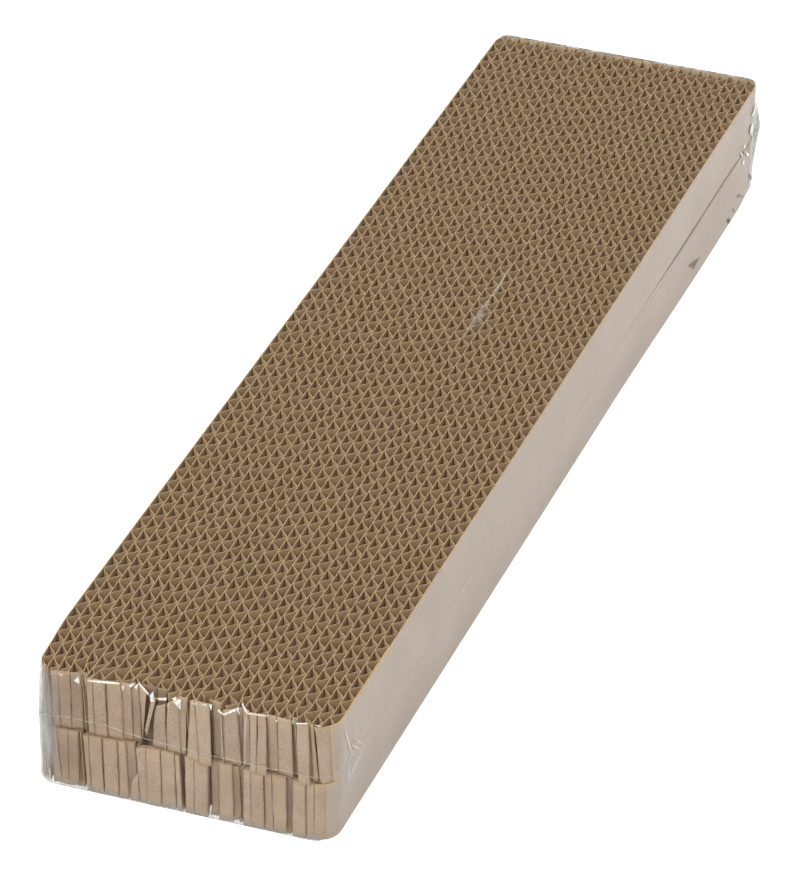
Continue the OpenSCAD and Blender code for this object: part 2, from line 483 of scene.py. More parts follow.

# %% [markdown]
# ## What the near end looks like
# The saw that cut the pads to length folded the last bit of each strip over, so the end is a row
# of upright panels. They are of uneven width, lean to the left, and lie at uneven depth. Where
# one is missing there is a dark slit, a recess darkened further by painted shade. Each panel is
# given by four places along the end, in millimetres from the left side: at its top left, top
# right, foot left and foot right. Then come its depth at both sides, how reddish it is, which
# for deep panels is partly painted shade, how far its top edge is cut down and its foot is
# raised at both sides, and how far its sides bow.

# %% Panels of the near end
PANELS = {"upper": [
    (5.7, 8.4, 7.2, 9.4, 0.4, 0.4, 0.05, 1),
    (8.5, 12.9, 9.5, 13.5, 0.4, 0.7, 0.1),
    (13, 16.6, 13.6, 17.4, 0.8, 1.5, 0.2),
    (16.3, 18.3, 17.1, 18.9, 2.3, 2.3, 0.6),
    (19.1, 20.9, 19.8, 21.8, 0.1, 0.1, 0, 0.3, 0, 0, -0.3),
    (21.1, 25.1, 22, 26, 0, 0.1, 0, 0, 0, -0.3),
    (25.4, 30.2, 26.2, 31.2, 0.4, 0.7, 0),
    (30.1, 33.4, 31.1, 34.1, 1.3, 1.5, 0.1),
    (33.4, 35.9, 34, 36.9, 1.8, 1.8, 0.35),
    (36, 39.1, 37, 37.7, 1.9, 0.1, 0, 0, 0.6, 0, 1.5),
    (36.5, 41.6, 36.4, 40.3, 3.4, 3.4, 0.95, 0.4, 0.4),
    (41.1, 42.3, 38.4, 39.1, 0.1, 0.3, 0, 1.2, 2.6, 6, 4),
    (42.2, 45.4, 41, 45.7, 0.8, 0.6, 0.15, 5.5, 4, 0, 0, -0.5),
    (41.9, 45, 41.9, 45, 2.6, 2.6, 0.7, 0, 0, 14, 14),
    (45.9, 49.7, 46, 50.6, 0.2, 0.2, 0.05, 3.6),
    (49.7, 52.6, 50.7, 52.3, 0.5, 0.5, 0.1, 0, 0, 0, 0, -0.9),
    (53.5, 54.9, 53, 57.2, 0.4, 0.3, 0, 0.6, 0, -0.8, -1, 0.1),
    (55.2, 60.1, 57.4, 61.4, 0, 0, 0, 0, 0, -1.7, -1.2),
    (58.8, 60.2, 60, 60.7, 3.2, 3.2, 0.8, 0.4, 0.4),
    (60.3, 63.6, 60.9, 64.2, 2.3, 2, 0.25),
    (64.1, 69, 64.6, 70.7, 1, 0.6, 0.12, 2),
    (68.6, 70.5, 70.3, 70.7, 1.7, 1.7, 0.5),
    (70.8, 72.9, 70.9, 73.5, 1.4, 1.2, 0.15, 0, 0, -0.3, -0.3),
    (73.4, 75.7, 74, 76, 0.2, 0.2, 0, 0, 0, -0.8, -0.8, 0.15),
    (75.9, 78.6, 76.1, 79.5, 0.3, 0.4, 0.05, 0, 0, -0.8, -0.6, 0.2),
    (78.7, 82, 79.5, 82.8, 1.2, 0.9, 0.2),
    (82.2, 87, 83, 87.9, 0.8, 0.6, 0.05),
    (86.5, 88.1, 87.3, 89.2, 2.4, 2.4, 0.6),
    (88.9, 92.8, 90.2, 94.1, 0, 0.1, 0, 0, 0, -0.6, -0.5),
    (93.2, 94.2, 94.6, 96.1, 0.6, 0.6, 0.05),
], "lower": [
    (7.2, 7.8, 7.5, 10.2, 0.4, 0.5, 0, 0.4, 0, 1.5, 0.9),
    (8, 12.4, 10.4, 12.6, 0.5, 0.5, 0.1, 0, 0, 0.9, 0.6),
    (12.5, 16.2, 12.6, 16.4, 0.6, 0.8, 0.15, 0, 0, 0.6, 1.2),
    (15.7, 17.3, 15.9, 18.3, 2.2, 2.2, 0.55, 0, 0, 0.9, 0.9),
    (18.1, 19.8, 19.6, 20.7, 0.1, 0.1, 0, 0.4, 0, 0.4, 0.2),
    (20, 24.2, 20.9, 25.1, 0, 0.1, 0, 0, 0, 0.1, 0.1),
    (24.7, 29.4, 25.5, 30.1, 0.1, 0.2, 0, 0, 0, 0.2, 0.2),
    (29.5, 32, 30.3, 33.4, 0.6, 0.7, 0.05, 0, 0, 0.1, 0.2),
    (31.7, 35.1, 32.9, 36.7, 1.5, 1.2, 0.35, 0, 0, 0.3, 0.3),
    (36.8, 37.1, 34.1, 37.1, 0, 0.1, 0, 10.2, 10.2, 0.2, 0.2, -1.2),
    (35.8, 39, 37.3, 39.9, 0.3, 0.2, 0.05, 0.9, 0, 0.2, 0.2),
    (39.1, 43.9, 40, 44.6, 0.1, 0.2, 0, 0, 0, 0, 0.1),
    (44.2, 48.7, 44.9, 49.4, 0.2, 0.3, 0.05, 0, 0, 0.1, 0.4),
    (48.9, 50.2, 49.7, 51.5, 0.4, 0.4, 0, 0.3, 0.6, 0.2, 0.1),
    (49.2, 51.3, 50.4, 51.9, 3, 3, 0.95),
    (52.4, 55.3, 52.7, 55.5, 0.2, 0.2, 0, 0, 0, 0.1, 0.1),
    (55.4, 60, 55.6, 60.1, 0.1, 0.2, 0),
    (58.8, 60.2, 58.9, 60.3, 3.2, 3.2, 0.8, 0, 0, 3.2, 3.2),
    (60.6, 63.1, 60.9, 63.5, 1.5, 1.3, 0.35, 0, 0, 1.1, 1.2),
    (63.4, 67.7, 63.8, 68.6, 0.7, 0.6, 0.08, 0, 0, -0.1, 0.4),
    (67.6, 70, 68.5, 71, 1.3, 1.3, 0.55, 0.6, 0, 0.9, 1.8),
    (69.5, 71.3, 70.4, 71.4, 2.2, 2.2, 0.4, 0, 0, 0.5, 0.5),
    (71.9, 74, 72, 74.7, 0.2, 0.2, 0),
    (74.1, 78.3, 74.8, 79, 0.1, 0.2, 0.05),
    (78.5, 80.8, 79.2, 82, 0.7, 0.7, 0.15),
    (81, 85.8, 82.1, 86.3, 0.6, 0.5, 0.05, 0, 0, 0, 0.1),
    (85.3, 87.5, 85.7, 87.7, 2, 2, 0.5, 0, 0, 0.2, 0.2),
    (88.2, 92.3, 88.4, 92.8, 0.1, 0.1, 0, 0, 0, 0.2, 0.1),
    (92.4, 95.1, 92.9, 95.4, 0.5, 0.5, 0.05, 0, 0, 0.2, 0.2),
]}


def panel_parts(panel):
    """A panel's row, filled up with zeros, in metres but for the redness in seventh place."""
    row = list(panel) + [0] * (12 - len(panel))
    return [value if place == 6 else value * MM for place, value in enumerate(row)]


def deepest(pad, left, right):
    """How deep the panels lie in front of a strip between these places from the pad's side."""
    depths = [0.3 * MM]
    for panel in PANELS[pad]:
        top_left, top_right, _, _, depth, depth_right = panel_parts(panel)[:6]
        if top_left < right - 0.4 * MM and top_right > left + 0.4 * MM:
            depths.append(max(depth, depth_right))
    return max(depths)


print("panels:", {pad: len(rows) for pad, rows in PANELS.items()})

# %% [markdown]
# ## The pads
# The sheets were stacked in runs, and within a run the crests drift a little from each strip to
# the next. A run gives its first strip, the place of that strip's crests as a share of a flute,
# and the drift. SHIFTS says, in millimetres, how far the edge of each strip is pushed aside at
# the near end. The strips end behind the panels that lie in front of them. The lower pad is
# nearly hidden, so its sheets have fewer columns and rows.

# %% Strips of both pads
RUNS = [(0, 0.3, 0.25), (2, 0.63, -0.06), (7, 0.53, 0.27), (9, 0.45, 0), (12, 0.67, 0.3),
        (14, 0.28, 0), (16, 0.94, -0.3), (18, 0.43, 0.03), (24, 0.4, 0.08)]
SHIFTS = [0, 0.6, 1.2, 1.5, 2.3, 0.5, -1.4, -1.2, 0.6, 0, -0.6, 0.9, 0.7, 1.2, 0.2, 0, 1.5, 0.2,
          1.6, 0, 0.5, 0.5, 0.2, 0.6, -1.2, 0.2, -0.6, 0]
STRIP_NEAR = {"lower": NEAR_FACE + 0.35 * MM, "upper": NEAR_FACE + UPPER_BACK + 0.25 * MM}
FINENESS = {"lower": {"Flute Columns": 580, "Liner Columns": 90, "Rows": 4},
            "upper": {"Flute Columns": 930, "Liner Columns": 180, "Rows": 6}}


def crest_share(index):
    first, share, drift = [run for run in RUNS if run[0] <= index][-1]
    return share + drift * (index - first)


def from_tree(name, tree, values):
    """Runs a tree once and keeps its result as a plain mesh object."""
    carrier = add_object(name + "_carrier", bpy.data.meshes.new(name))
    modifier = carrier.modifiers.new("tree", "NODES")
    modifier.node_group = tree
    for item in tree.interface.items_tree:
        if item.item_type == "SOCKET" and item.in_out == "INPUT" and item.name in values:
            modifier[item.identifier] = values[item.name]
    graph = bpy.context.evaluated_depsgraph_get()
    mesh = bpy.data.meshes.new_from_object(carrier.evaluated_get(graph))
    bpy.data.objects.remove(carrier)
    mesh.name = name
    return add_object(name, mesh)


def given_to(piece, body, node):
    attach(piece, body)
    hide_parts(node)


triangles = 0
for pad, (low, high) in pads.items():
    for index in range(STRIPS):
        node = f"{pad}_strip_{index + 1:02d}"
        left = index * STRIP_PITCH
        piece = from_tree(node, strip_tree, {
            "Left": low.x + left, "Pad Near": LINER_NEAR[pad], "Pad Far": high.y,
            "Near": STRIP_NEAR[pad] + deepest(pad, left, left + STRIP_PITCH),
            "Far": high.y - (0.5 + 0.25 * math.sin(index * 2.3)) * MM,
            "Liner Near": STRIP_NEAR[pad] + deepest(pad, left - 0.5 * MM, left + 0.5 * MM),
            "Bottom": SHEET_FOOT[pad], "Top": high.z,
            "Rough": (0.4 if pad == "upper" else 0.05) * MM,
            "Crest Shift": crest_share(index) * FLUTE_PITCH + (low.y + high.y) / 2,
            "Seed": index * 7.3, "Own Liner": index > 0, **FINENESS[pad],
            "Left Shift": SHIFTS[index] * MM, "Right Shift": SHIFTS[index + 1] * MM,
            "Lean": -1.5 * MM, "Liner Paper": papers["liner_paper"],
            "Fluting Paper": papers["fluting_paper"], "Cut Edge": papers["cut_edge"],
        })
        given_to(piece, f"{pad}_pad", node)
        triangles += sum(len(face.vertices) - 2 for face in piece.data.polygons)
print("strips:", 2 * STRIPS, "with", triangles, "triangles")

# %% [markdown]
# ## The end panels themselves
# A panel is a small curled sheet. Its front is a net of points between its four corners, its back
# is the same net one thickness behind, and a band closes the two. The upper pad's longer panels
# hang down in front of the seam, so their feet come forward. The lower pad's panels are made
# thick, so that no dark gap shows over them, and their band has the colour of their face. The far
# end gets plain panels of the same kind, one for each strip.

# %% Curled sheets of paper
PANEL_THICK = {"lower": 1.8 * MM, "upper": PAPER}
PANEL_BAND = {"lower": "panel_paper", "upper": "cut_edge"}
PANEL_FOOT = {"lower": SHEET_FOOT["lower"], "upper": SEAM + 0.02 * MM}
PANEL_BACK = {"lower": -0.1 * MM, "upper": UPPER_BACK}
HANGING = 0.5 * MM
HUNG_FORWARD = 0.35 * MM
# A bow is v * v * (1 - v), which has its peak of 1 / 6.75 at two thirds of the height.
BOW_LEFT, BOW_RIGHT = 6.75, 3


def add_band(mesh, first, second, flip=False):
    """Faces between two rings with the same number of vertices."""
    faces = []
    for step in range(len(first)):
        following = (step + 1) % len(first)
        corners = [first[step], second[step], second[following], first[following]]
        faces.append(mesh.faces.new(corners[::-1] if flip else corners))
    return faces


def add_sheet(sheets, rows, thickness, tint):
    """A closed sheet from a net of points. Thickness is the way from its front to its back."""
    mesh, tint_layer, rim_layer = sheets
    tall, wide = len(rows), len(rows[0])
    nets = []
    for offset in (Vector((0, 0, 0)), thickness):
        nets.append([[mesh.verts.new(point + offset) for point in row] for row in rows])
        for number, row in enumerate(nets[-1]):
            for vertex in row:
                vertex[tint_layer] = tint
                vertex[rim_layer] = abs(2 * number / (tall - 1) - 1)
    for r in range(tall - 1):
        for c in range(wide - 1):
            corners = [(r, c), (r, c + 1), (r + 1, c + 1), (r + 1, c)]
            for net, order in zip(nets, (corners, corners[::-1])):
                mesh.faces.new([net[i][j] for i, j in order]).smooth = True
    loop = [(0, c) for c in range(wide)] + [(r, wide - 1) for r in range(1, tall - 1)] \
        + [(tall - 1, c) for c in reversed(range(wide))] \
        + [(r, 0) for r in reversed(range(1, tall - 1))]
    for face in add_band(mesh, *[[net[i][j] for i, j in loop] for net in nets]):
        face.material_index = 1


def new_mesh(*layers):
    """An empty mesh, and its layers of these names for values on its points."""
    mesh = bmesh.new()
    for name in layers:
        mesh.verts.layers.float.new(name)
    return mesh, *[mesh.verts.layers.float[name] for name in layers]


def mesh_object(mesh, name, *materials):
    data = bpy.data.meshes.new(name)
    mesh.to_mesh(data)
    mesh.free()
    for material in materials:
        data.materials.append(material)
    return add_object(name, data)


def net_of(place, wide, tall):
    """Points at shares u across and v up, row by row from the foot."""
    return [[place(c / (wide - 1), r / (tall - 1)) for c in range(wide)] for r in range(tall)]


def uneven(*place):
    return noise.noise(Vector(place))


def near_panel(pad, panel, seed):
    """The rule that places the points of one near panel."""
    top_left, top_right, foot_left, foot_right, depth, depth_right, _, drop, drop_right, lift, \
        lift_right, bow = panel_parts(panel)
    low, high = pads[pad]
    upper = pad == "upper"
    hang = -HUNG_FORWARD - PANEL_BACK[pad] if upper and lift < -HANGING else 0

    def place(u, v):
        left = blend(foot_left, top_left, v) + bow * BOW_LEFT * v * v * (1 - v)
        right = blend(foot_right, top_right, v) + bow * BOW_RIGHT * v * v * (1 - v)
        x = low.x + blend(left, right, u)
        z = blend(PANEL_FOOT[pad] + blend(lift, lift_right, u),
                  high.z - blend(drop, drop_right, u), v)
        curl = uneven(x * 320, z * 90, seed) * 0.16 * MM
        side = uneven(u * 3, z * 260, seed + 20) * 0.14 * MM
        edge = abs(uneven(x * 900, v * 3, seed + 5)) * 0.24 * MM
        deep = blend(depth, depth_right, u) * (1 if upper else min(1, 0.3 + v * 6))
        y = NEAR_FACE + deep + curl + PANEL_BACK[pad] + hang * (1 - v)
        at_seam = (v == 0) == upper
        z += edge * (0.3 if at_seam else 0.8) * ((v == 0) - (v == 1))
        x += side * (1 if u in (0, 1) else 0.3)
        return Vector((x + PUSH * ratio(-x, 35, 50), y + corner_inset(x, NEAR_CORNER), z))

    return place


def far_panel(pad, index):
    """The rule that places the points of one far panel, a little leaning."""
    low, high = pads[pad]
    sway = [0.12 * math.sin(number * 1.9) for number in (index, index + 1)]
    left = low.x + (3 * MM if index == 0 else (index + sway[0]) * STRIP_PITCH)
    right = low.x + (index + 1.02 + sway[1]) * STRIP_PITCH
    if index == STRIPS - 1:
        right = high.x - 3 * MM
    deep = (0.1 + 0.05 * math.sin(index * 2.3)) * MM

    def place(u, v):
        x = blend(right, left, u) + 0.5 * MM * (v - 0.5)
        z = blend(PANEL_FOOT[pad], high.z, v) + 0.2 * MM * (0.5 - v)
        curl = uneven(x * 320, z * 90, 50) * 0.1 * MM
        return Vector((x, high.y - deep - corner_inset(x, FAR_CORNER) + curl, z))

    return place


for pad in PADS:
    sheets = new_mesh("tint", "rim")
    thickness = Vector((0, PANEL_THICK[pad], 0))
    for number, panel in enumerate(PANELS[pad]):
        # Panels towards the left side get a darker tint, painted shade.
        tint = 0.75 * panel[6] + 0.28 * (1 - ratio(panel[0] * MM, 0, 34))  # dull at the left
        add_sheet(sheets, net_of(near_panel(pad, panel, number * 3.7), 6, 13), thickness, tint)
    near_panels = mesh_object(sheets[0], f"{pad}_near_panels", papers["panel_paper"],
                              papers[PANEL_BAND[pad]])
    given_to(near_panels, f"{pad}_pad", f"{pad}_strip_14")
    sheets = new_mesh("tint", "rim")
    for index in range(STRIPS):
        add_sheet(sheets, net_of(far_panel(pad, index), 4, 9), Vector((0, -PAPER, 0)),
                  0.1 + 0.1 * math.sin(index * 4.1))
    far_panels = mesh_object(sheets[0], f"{pad}_far_panels", papers["panel_paper"],
                             papers["cut_edge"])
    given_to(far_panels, f"{pad}_pad", f"{pad}_strip_14")
    print(pad, "panels have", len(near_panels.data.polygons), "and",
          len(far_panels.data.polygons), "faces")

# %% [markdown]
# ## The turned outer liners
# The outermost liners are left long and turned round the corners of the pad. A sheet is put in
# place by the distance along its path: a straight line, an arc at each corner, and a flap. At
# the near right corner two liners overlap, and the outer one ends halfway round the corner. The
# lower pad's right side bulges a little at its foot, towards the far end.

# %% Turned liners
turned_tree, given, out = group_with("turned_liner", "GeometryNodeTree", {
    "Side": 0.05, "Inwards": -1.0, "Near": -0.2, "Far": 0.2, "Near Corner": NEAR_CORNER,
    "Far Corner": FAR_CORNER, "Near Reach Foot": 0.2, "Near Reach Top": 0.2, "Far Reach": 0.2,
    "Bottom": 0.0, "Top": 0.02, "Top Rough": 0.35 * MM, "Far Rough": 0.0, "Bulge": 0.0,
    "Liner": LINER, "Columns": 640, "Rows": 6, "Outer Paper": None, "Cut Edge": None},
    {"Geometry": "Geometry"})


def turned_place(u, v):
    half = (given["Far"] - given["Near"]) / 2
    foot, top = given["Near Reach Foot"], given["Near Reach Top"]
    near_reach = (foot + top) / 2
    path = ((u - 0.5) * given["Inwards"] * -1 + 0.5) * (near_reach + given["Far Reach"]) \
        - near_reach
    path = path - (v - 0.5) * (top - foot) * path.ramp(near_reach * -1 + 5 * MM, near_reach * -1)
    radius = blend(given["Near Corner"], given["Far Corner"], path.math("GREATER_THAN", 0))
    away, straight, arc = path.math("ABSOLUTE"), half - radius, radius * (math.pi / 2)
    angle = ((away - straight) / radius).between(0, math.pi / 2)
    inset = radius * (1 - angle.math("COSINE")) + (away - straight - arc).math("MAXIMUM", 0)
    length = away.math("MINIMUM", straight) + radius * angle.math("SINE")
    y = length * path.math("SIGN") + (given["Near"] + given["Far"]) / 2
    bulge = given["Bulge"] * y.ramp(60 * MM, 165 * MM) * y.ramp(228 * MM, 205 * MM)
    x = given["Side"] + inset * given["Inwards"] + bulge * (1 - v * 0.65)
    rough = cloud_at(y * 300, x * 300, 3, 2)
    gap = cloud_at(y * 260, 8, 0, 3).ramp(0.3, 0.65, 0.15, 1) \
        * y.ramp(95 * MM, 150 * MM) * given["Far Rough"]
    z = height_of(v, rough, rough * given["Top Rough"] + gap)
    return combine(warped(x, y), y, z)


sheet = paper_sheet(turned_tree, given["Columns"], given["Rows"], turned_place,
                    given["Liner"] * -1, given["Outer Paper"], given["Cut Edge"])
keep_result(out, sheet)

# For each pad: how rough the top of its liners is, how much rougher it gets far away, both in
# mm, the paper of their edge, and where the right and the inner liner end at the near corner, as
# the angles that they turn at the foot and at the top.
# The lower pad's edge paper is dark as painted shade of the gap at the seam.
TURNED = {"lower": (0.03, 0.6, "shaded_cut_edge", (48, 52), (75, 77)),
          "upper": (0.35, 0, "golden_edge", (32, 46), (61, 81))}
LEFT_TURN, FAR_TURN = (52, 48), 100
INNER_INSET = LINER + 0.03 * MM
for pad, (low, high) in pads.items():
    rough, far_rough, edge, right_turn, inner_turn = TURNED[pad]
    for name, side, inwards, turn, inset, node, own in (
            ("left_liner", low.x, 1, LEFT_TURN, 0, "strip_01", {}),
            ("right_liner", high.x, -1, right_turn, 0, "side_liner",
             {"Bulge": (pad == "lower") * MM}),
            ("inner_liner", high.x, -1, inner_turn, INNER_INSET, "side_liner",
             {"Far Reach": -180 * MM, "Far Rough": 0.0, "Columns": 90,
              "Outer Paper": papers["panel_paper"], "Cut Edge": papers["golden_edge"]})):
        half = (high.y - LINER_NEAR[pad]) / 2 - inset
        corner = NEAR_CORNER - inset
        foot_reach, top_reach = [half - corner + corner * math.radians(angle) for angle in turn]
        piece = from_tree(f"{pad}_{name}", turned_tree, {
            "Side": side + inwards * inset, "Inwards": inwards, "Near Corner": corner,
            "Near": LINER_NEAR[pad] + inset, "Far": high.y - inset,
            "Near Reach Foot": foot_reach, "Near Reach Top": top_reach,
            "Far Reach": half - FAR_CORNER + FAR_CORNER * math.radians(FAR_TURN),
            "Bottom": SHEET_FOOT[pad], "Top": high.z, "Top Rough": rough * MM,
            "Far Rough": far_rough * MM, "Outer Paper": papers["outer_paper"],
            "Cut Edge": papers[edge], **own})
        given_to(piece, f"{pad}_pad", f"{pad}_{node}")
        print(piece.name, "has", len(piece.data.polygons), "faces")

# %% [markdown]
# ## The film's finish
# Clear film is nearly invisible where it is taut and seen face on. It turns milky where it is
# seen at a low angle, which is painted reflection, and white along creases, where the plastic
# has been stretched. So its Alpha grows with the Facing output, and with a veil that each web
# carries as a value on its points, which on the sides is painted sheen. Sharp creases, which
# carry painted highlights, and grey marks of painted shade are pieces of their own, in finishes
# of their own.

# %% Film materials
film_material, tree, shader = new_material("shrink_film", Roughness=0.35, Specular_IOR_Level=0.1)
facing = fill(tree.nodes.new("ShaderNodeLayerWeight"), Blend=0.5)
turned_away = Field(facing.outputs["Facing"])
# At a low angle the film turns milky and greyer: painted reflection.
low_angle_sheen = (turned_away.math("POWER", 9) * 1.3).math("MINIMUM", 0.45)
smears = cloud(stretched(object_place(tree), (1, 1, 0.25)), 330, 3, 0.6)
alpha = low_angle_sheen + attribute(tree, "veil") * smears.ramp(0.3, 0.7, 0.45, 1.1) + 0.001
grey = attribute(tree, "veil").ramp(0.3, 0.75).math("MAXIMUM", turned_away.ramp(0.8, 0.97))
fill(shader, Alpha=alpha.between(0, 1),
     Base_Color=mix_colour(grey, colour(206, 203, 198), colour(190, 188, 183)))


def patchy_film(name, tint, roughness, scale, low, least):
    """Film that fades in and out at this scale, down to a least share of its veil."""
    material, tree, shader = new_material(name, Base_Color=tint, Roughness=roughness)
    patches = cloud(object_place(tree), scale, 2).ramp(low, 0.6, least, 1)
    fill(shader, Alpha=patches * attribute(tree, "veil"))
    return material


# White film for the weld bead and for creases, whose slivers carry painted highlights.
white_film_and_glints = patchy_film("white_film_and_glints", colour(250, 246, 238), 0.3, 900, 0.35, 0.45)
# Grey film marks, painted shade of dents and nicks.
shade_marked_film = patchy_film("shade_marked_film", colour(92, 82, 74), 0.7, 700, 0.3, 0.6)
print("film materials ready")

# %% [markdown]
# ## The shrink film
# Two webs of thin clear film meet in a weld that runs round the pack. Shrinking pulls the film
# tight over the flat sides. At the far right corner it stands off in an ear, and at the near
# left corner it is drawn in over the pushed corner of the pads. Each web is a net of rings: small
# rings over the flat side, then rows down to the weld, then the same net again on the inside.
# Cloth simulation would give looser folds than heat does, so the net is placed by rule. Corners
# are counted from the near right one, by way of the far right one.

# %% Outline of the pack
film_low = Vector(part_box("film_lower_web")[0])
film_high = Vector(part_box("film_upper_web")[1])
FILM_HALF = Vector((HALF + 0.35 * MM, film_high.y - 0.7 * MM))
RADII = [radius + 0.3 * MM for radius in (NEAR_CORNER, FAR_CORNER, FAR_CORNER, NEAR_CORNER)]
EARS = [0.5 * MM, 3.6 * MM, 1.2 * MM, 0.6 * MM]
FOLDS = [0.15 * MM, 0.3 * MM, 0.2 * MM, 0.08 * MM]
SIDE_GAPS = (0.6, 2.5, 1.2, 2.5)
CORNER_STEP = 0.06
FOLD_REACH = 25 * MM


def spread(start, end, gap):
    count = max(1, round((end - start) / gap))
    return [start + (end - start) * step / count for step in range(count)]


def film_outline():
    """Points round the pack: place, way out, nearness to a corner, and which corner it is."""
    points = []
    for side_number, gap in enumerate(SIDE_GAPS):
        before, after = RADII[side_number - 1], RADII[side_number]
        side = math.radians(side_number * 90 - 90)
        out_way = Vector((math.cos(side), math.sin(side)))
        along = Vector((-out_way.y, out_way.x))
        half = abs(along.x) * FILM_HALF.x + abs(along.y) * FILM_HALF.y
        middle = out_way * FILM_HALF
        for step in spread(before - half, half - after, gap * MM):
            close = max(0, 1 - (half - abs(step) - NEAR_CORNER) / FOLD_REACH)
            corner = side_number if step > 0 else side_number - 1
            points.append((middle + along * step, out_way, min(close, 1), corner % 4))
        centre = middle + along * (half - after) - out_way * after
        for angle in spread(side, side + math.pi / 2, CORNER_STEP):
            way = Vector((math.cos(angle), math.sin(angle)))
            points.append((centre + way * after, way, 1, side_number))
    return points


outline = film_outline()
print("film outline has", len(outline), "points")

# %% [markdown]
# The weld was pulled up at the near end when the film shrank. Its height is read off the photo
# at a few places across the near end, and sinks to the middle of the pack along the sides.

# %% Height of the weld
WELD = [(-50.7, 24.3), (-47, 25.6), (-42, 26.2), (-37, 26.8), (-25, 26.8), (-17, 25.6),
        (-12, 25), (-5, 24.6), (2, 24.2), (16, 24), (21, 24.3), (28, 23.8), (35, 24.3),
        (50.7, 24.2)]


def weld_height(x, y):
    """It follows WELD at the near end, and rises again towards the far right corner."""
    height = WELD[0][1]
    for (a, low), (b, high) in zip(WELD, WELD[1:]):
        height += (high - low) * ratio(x, a, b)
    near = ratio(-y, 150, 225)
    near = near * near * (3 - 2 * near)
    rest = 20.4 + 1.2 * uneven(x * 20, y * 14, 2)
    if x > 0:
        rest += 3.4 * ratio(y, 195, 225)
    return blend(rest, height, near) * MM


print("weld at the near end from", round(min(h for _, h in WELD), 1), "mm up")


# %% The two webs
FILM_EDGE = 0.5 * MM
FILM_THICK = 0.03 * MM
FILM_SIDE = 51.95 * MM


def veil_at(x, y, z):
    """How milky the film is: smeared at the near left corner and in the far right ear, and a little
    over the sides, which is painted sheen.
    """
    left = ratio(-x, 40.5, 46.5) * ratio(-y, 222, 228)
    ear = ratio(x, 46, 48) * ratio(y, 222, 227)
    x, y, z = x / MM, y / MM, z / MM
    middle = math.exp(-((z - 20) / (20 if x < 0 else 15)) ** 2)
    # A paler patch of veil on the right side, near the near end.
    pale_patch = (x > 0) * math.exp(-((z - 18.5) / 4.5) ** 2 - ((y + 216) / 5) ** 2)
    # A light veil over the whole of both sides is painted sheen.
    side = 0.06 * (abs(x) > 50.5)
    rim = 0.9 * (y > 229.5 and z > 41.5)
    foot = 0.4 * (y < NEAR_FACE / MM + 1) * max(0, 1 - z / 3.5)
    return min(0.9, (0.82 * left + 0.8 * ear) * middle + 0.55 * pale_patch + side + rim + foot)


def bulged(x, y, z):
    """How far the film is pushed out by the lower pad's right side, which bulges at its foot."""
    return (x > 0.05) * ratio(y, 60, 165) * ratio(y, 228, 205) * max(0, 1 - z / MM / 32) * MM


def drawn_in(x, y):
    """How far the film follows the pads, which are pushed in at the near left corner."""
    return ratio(-x, 35, 50) * ratio(-y, 200, 230) * 1.5 * MM


def film_point(upper, flat_z, kind, step, point):
    """A point of a web, in a row of its flat side, its round rim or its side."""
    place, way_out, close, corner = point
    if kind == "flat":
        return (*(place - way_out * (FILM_EDGE + 0.4 * MM)), flat_z)
    tall = abs(weld_height(place.x, place.y) - flat_z)
    out, drop = 0, FILM_EDGE + step * (tall - FILM_EDGE)
    if kind == "rim":
        angle = step * math.pi / 2
        out, drop = FILM_EDGE * (math.sin(angle) - 1), FILM_EDGE * (1 - math.cos(angle))
    depth = drop / tall
    if close == 1:
        diagonal = min(abs(way_out.x), abs(way_out.y)) / 0.7071
        out += EARS[corner] * diagonal ** 2 * depth ** 1.3
    fold = uneven(place.x * 300, place.y * 300, depth * 2 + 7 * upper)
    out += close ** 2 * fold * FOLDS[corner] * depth
    x, y = place + way_out * min(max(out, -0.25 * MM), EARS[corner] + 0.3 * MM)
    z = flat_z - drop if upper else flat_z + drop
    x = max(-FILM_SIDE, min(FILM_SIDE, x + bulged(x, y, z)))
    y = max(film_low.y + 0.02 * MM, min(film_high.y - 0.02 * MM, y))
    return x + drawn_in(x, y) * (1 - 0.2 * depth), y, z


def film_web(name, flat_z):
    """A web from its flat side to the weld, with an inside of its own."""
    upper = flat_z > SEAM
    mesh, veil = new_mesh("veil")
    rings = []
    for kind, step in [("flat", 0)] + [("rim", number / 3) for number in range(4)] \
            + [("side", number / 16) for number in range(1, 17)]:
        rings.append([mesh.verts.new(film_point(upper, flat_z, kind, step, point))
                      for point in outline])
        for vertex in rings[-1]:
            vertex[veil] = 0 if kind == "flat" else veil_at(*vertex.co)
    for first, second in zip(rings, rings[1:]):
        add_band(mesh, first, second, not upper)
    mesh.faces.new(rings[0] if upper else rings[0][::-1])
    mesh.normal_update()
    inner = {}
    for vertex in list(mesh.verts):
        inner[vertex] = mesh.verts.new(vertex.co - vertex.normal * FILM_THICK)
        inner[vertex][veil] = vertex[veil]
    for face in list(mesh.faces):
        mesh.faces.new([inner[vertex] for vertex in reversed(face.verts)])
    add_band(mesh, rings[-1], [inner[vertex] for vertex in rings[-1]], not upper)
    bmesh.ops.triangulate(mesh, faces=[face for face in mesh.faces if len(face.verts) > 4])
    bmesh.ops.recalc_face_normals(mesh, faces=mesh.faces)
    for face in mesh.faces:
        face.smooth = not all(abs(vertex.co.z - flat_z) < 0.05 * MM for vertex in face.verts)
    return mesh_object(mesh, name, film_material)


for name, flat_z, node, body in (
        ("upper_film", film_high.z - 0.1 * MM, "film_upper_web", "upper_film"),
        ("lower_film", film_low.z + 0.04 * MM, "film_lower_web", "lower_film")):
    piece = film_web(name, flat_z)
    given_to(piece, body, node)
    print(name, "has", len(piece.data.polygons), "faces")

